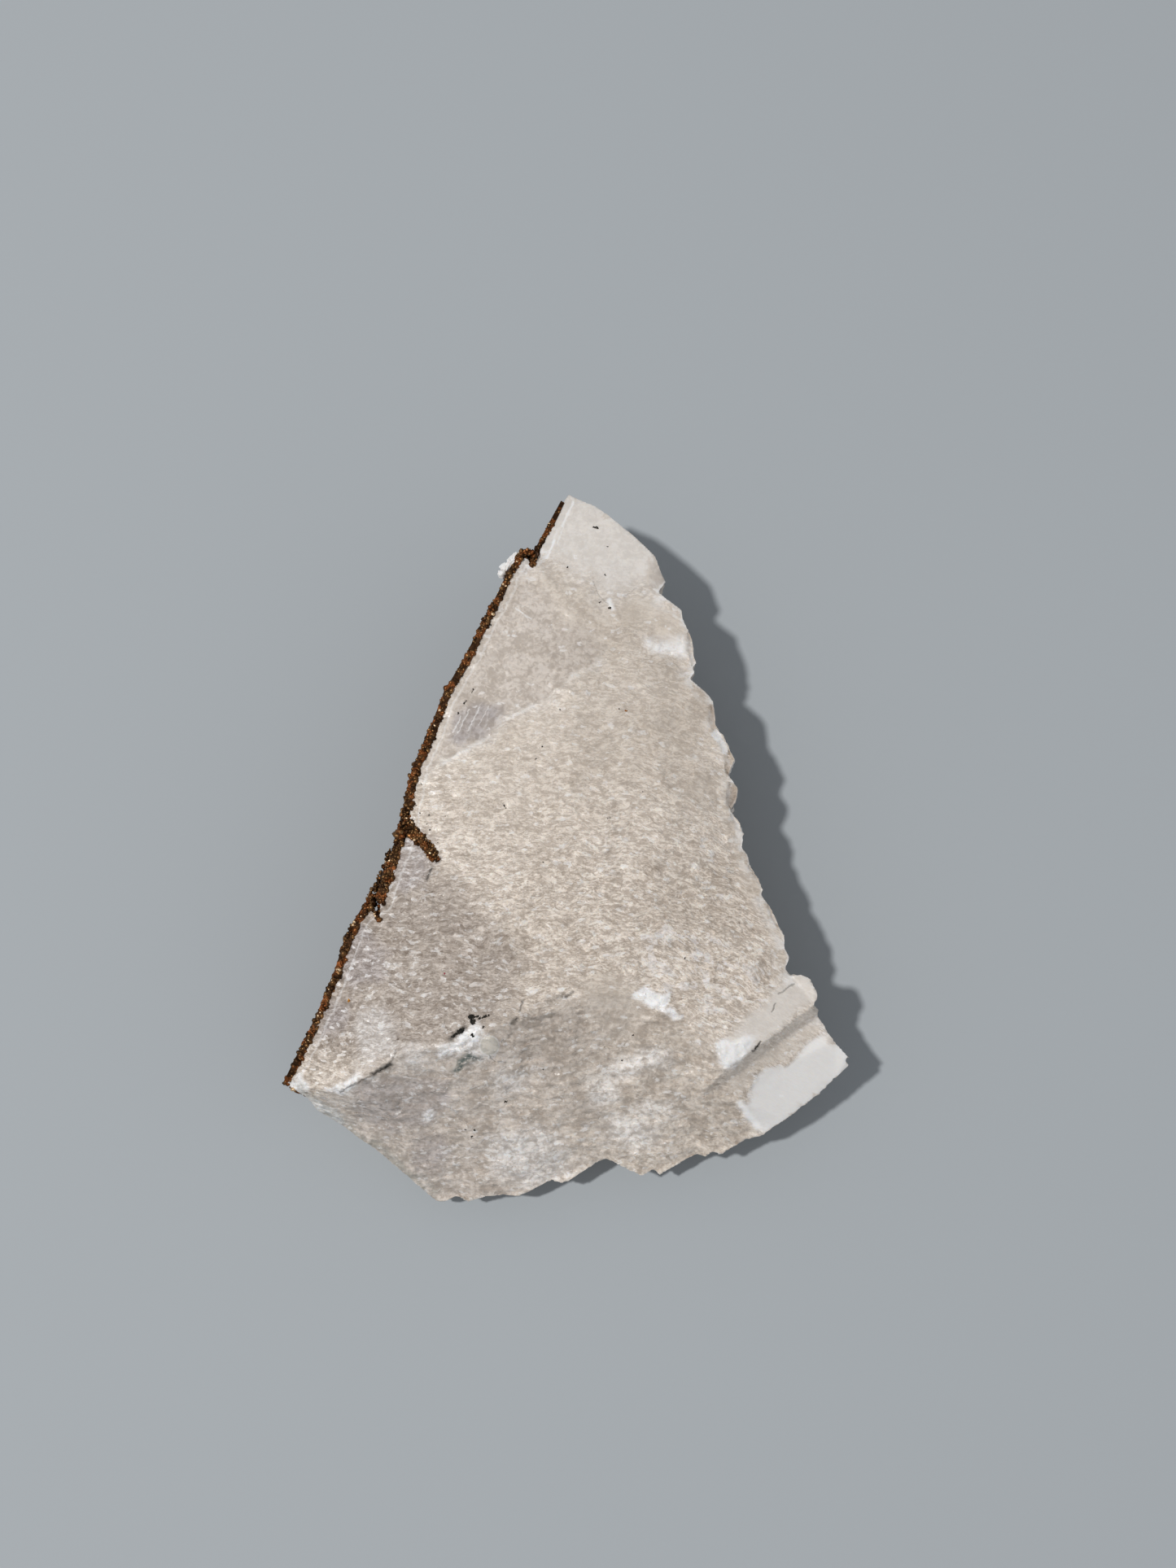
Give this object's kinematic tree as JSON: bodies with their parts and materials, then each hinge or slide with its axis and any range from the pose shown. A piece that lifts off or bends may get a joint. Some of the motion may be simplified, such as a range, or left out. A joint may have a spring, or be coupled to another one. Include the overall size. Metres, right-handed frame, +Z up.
{
  "type": "mineral specimen",
  "caption": "Roughly triangular slab of milky calcite with a fibrous broken face, its stepped long side coated with a thin brown marcasite druse.",
  "frame": {"origin": "on the ground, under the middle of the specimen's bounding box", "axes": "+Z up out of the broken face, +Y from the broad stepped end to the pointed tip, -X towards the side coated with marcasite"},
  "size_m": [0.0582, 0.0733, 0.021],
  "materials": {
    "calcite": "satin",
    "marcasite": "satin",
    "white_calcite": "satin"
  },
  "bodies": {
    "root": {"calcite_body": "calcite", "marcasite_crust_tip": "marcasite", "marcasite_crust_upper": "marcasite", "marcasite_crust_middle": "marcasite", "marcasite_crust_lower": "marcasite", "marcasite_seam": "marcasite", "calcite_bud": "white_calcite"}
  },
  "joints": []
}
